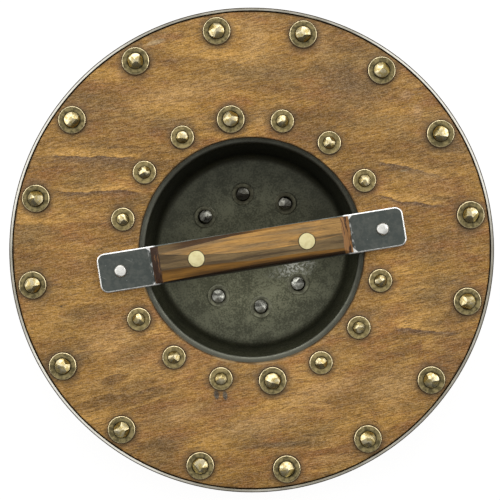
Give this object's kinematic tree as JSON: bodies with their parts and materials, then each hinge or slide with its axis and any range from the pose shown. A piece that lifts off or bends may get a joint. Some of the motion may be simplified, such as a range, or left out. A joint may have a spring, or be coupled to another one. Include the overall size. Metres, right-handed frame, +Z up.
{
  "type": "buckler",
  "caption": "Small round wooden shield with a steel rim, a deep steel boss behind the hand hole, a steel strap handle with wooden grip scales, and rings of peened rivets.",
  "frame": {"origin": "On the ground under the middle of the shield as it lies on its boss, hand side up.", "axes": "+Z points up, out of the back (the hand side). +X runs along the handle. +Y runs across it."},
  "size_m": [0.35, 0.35, 0.0721],
  "materials": {
    "stained_wood": "brown stained, open grain, satin",
    "grip_wood": "oiled, streaky, satin",
    "rim_steel": "hand finished",
    "blackened_steel": "blackened, rough",
    "strap_steel": "blackened with bright ground edges",
    "bright_steel": "hammered, bright",
    "rivet_steel": "hammered, grey",
    "brass": "aged, olive, with hammered tails",
    "pale_brass": "ground flush, pale"
  },
  "bodies": {
    "root": {"wood_disc": "stained_wood", "rim_band": "rim_steel", "boss": "blackened_steel", "handle_strap": "strap_steel", "grip_scale_back": "grip_wood", "grip_scale_front": "grip_wood", "grip_pin_left": "pale_brass", "grip_pin_right": "pale_brass", "handle_rivet_left": "bright_steel", "handle_rivet_right": "bright_steel", "outer_rivet_01": "brass", "outer_rivet_02": "brass", "outer_rivet_03": "brass", "outer_rivet_04": "brass", "outer_rivet_05": "brass", "outer_rivet_06": "brass", "outer_rivet_07": "brass", "outer_rivet_08": "brass", "outer_rivet_09": "brass", "outer_rivet_10": "brass", "outer_rivet_11": "brass", "outer_rivet_12": "brass", "outer_rivet_13": "brass", "outer_rivet_14": "brass", "outer_rivet_15": "brass", "outer_rivet_16": "brass", "inner_rivet_01": "brass", "inner_rivet_02": "brass", "inner_rivet_03": "brass", "inner_rivet_04": "brass", "inner_rivet_05": "brass", "inner_rivet_06": "brass", "inner_rivet_07": "brass", "inner_rivet_08": "brass", "inner_rivet_09": "brass", "inner_rivet_10": "brass", "inner_rivet_11": "brass", "inner_rivet_12": "brass", "inner_rivet_13": "brass", "inner_rivet_14": "brass", "boss_rivet_1": "rivet_steel", "boss_rivet_2": "rivet_steel", "boss_rivet_3": "rivet_steel", "boss_rivet_4": "rivet_steel", "boss_rivet_5": "rivet_steel", "boss_rivet_6": "rivet_steel", "boss_rivet_7": "rivet_steel", "boss_rivet_8": "rivet_steel"}
  },
  "joints": []
}
